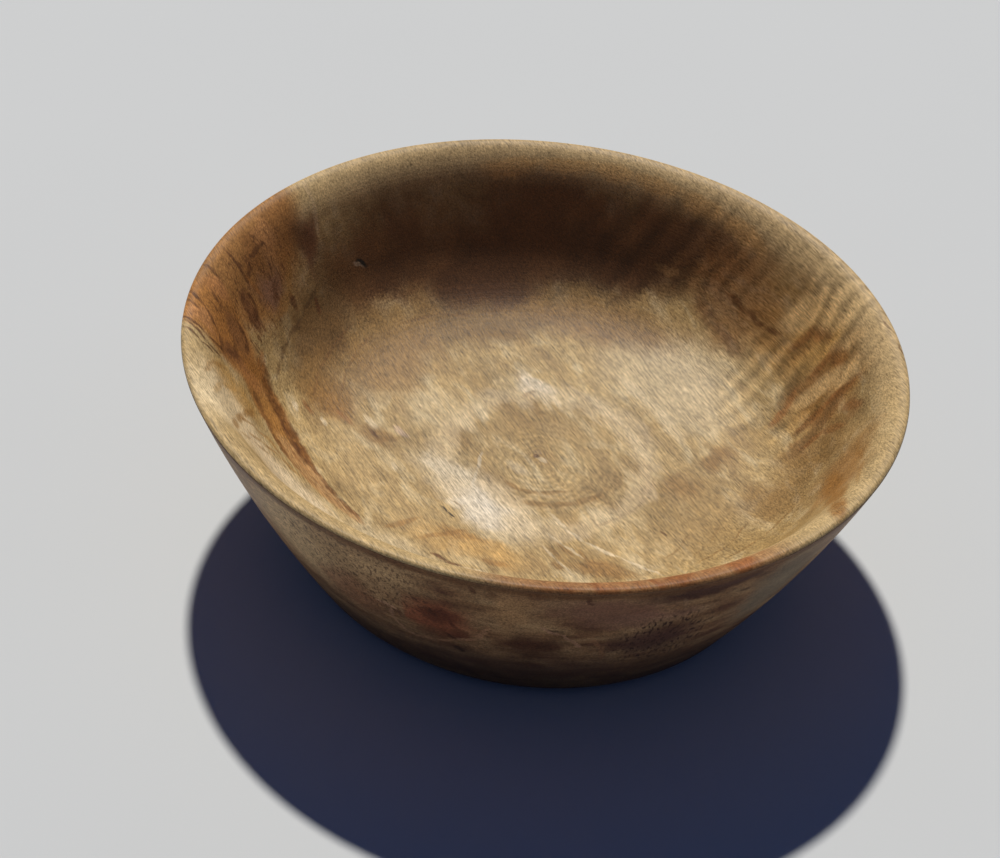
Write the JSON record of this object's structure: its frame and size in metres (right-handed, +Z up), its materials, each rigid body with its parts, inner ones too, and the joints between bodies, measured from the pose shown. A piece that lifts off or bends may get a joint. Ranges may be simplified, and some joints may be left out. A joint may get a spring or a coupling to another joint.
{
  "type": "bead spinner",
  "caption": "Turned wooden bowl that spins on a low base hidden in the recess of its foot, on a concealed ball bearing.",
  "frame": {"origin": "on the table, at the centre of the non-slip pad's underside, under the spindle", "axes": "+Z up along the spin axis, +X along the long way of the slightly oval bowl"},
  "size_m": [0.1346, 0.1254, 0.0485],
  "materials": {
    "figured_wood": "satin",
    "base_wood": "satin",
    "steel": "satin",
    "bearing_steel": "polished",
    "cage_steel": "satin",
    "black_steel": "satin",
    "zinc_yellow": "satin",
    "pad_rubber": "matte"
  },
  "bodies": {
    "base": {"base_disc": "base_wood", "bearing_outer_race": "bearing_steel", "bearing_shield_upper": "steel", "bearing_shield_lower": "steel", "bearing_retainer": "steel", "retainer_screws": "zinc_yellow", "non_slip_pad": "pad_rubber"},
    "bowl": {"bowl": "figured_wood", "spindle": "steel", "flange_screws": "zinc_yellow", "spacer_washer": "steel", "bearing_inner_race": "bearing_steel", "retaining_washer": "steel", "retaining_screw": "black_steel"},
    "ball_cage": {"bearing_balls": "bearing_steel", "cage_upper_half": "cage_steel", "cage_lower_half": "cage_steel", "cage_rivets": "steel"}
  },
  "joints": [
    {"name": "bowl_spin", "type": "hinge", "parent": "base", "child": "bowl", "pos_m": [0, 0, 0.0085], "axis": [0, 0, 1], "continuous": true},
    {"name": "cage_orbit", "type": "hinge", "parent": "base", "child": "ball_cage", "pos_m": [0, 0, 0.0085], "axis": [0, 0, 1], "continuous": true}
  ],
  "couplings": [
    {"joint": "cage_orbit", "follows": "bowl_spin", "ratio": 0.3677}
  ]
}
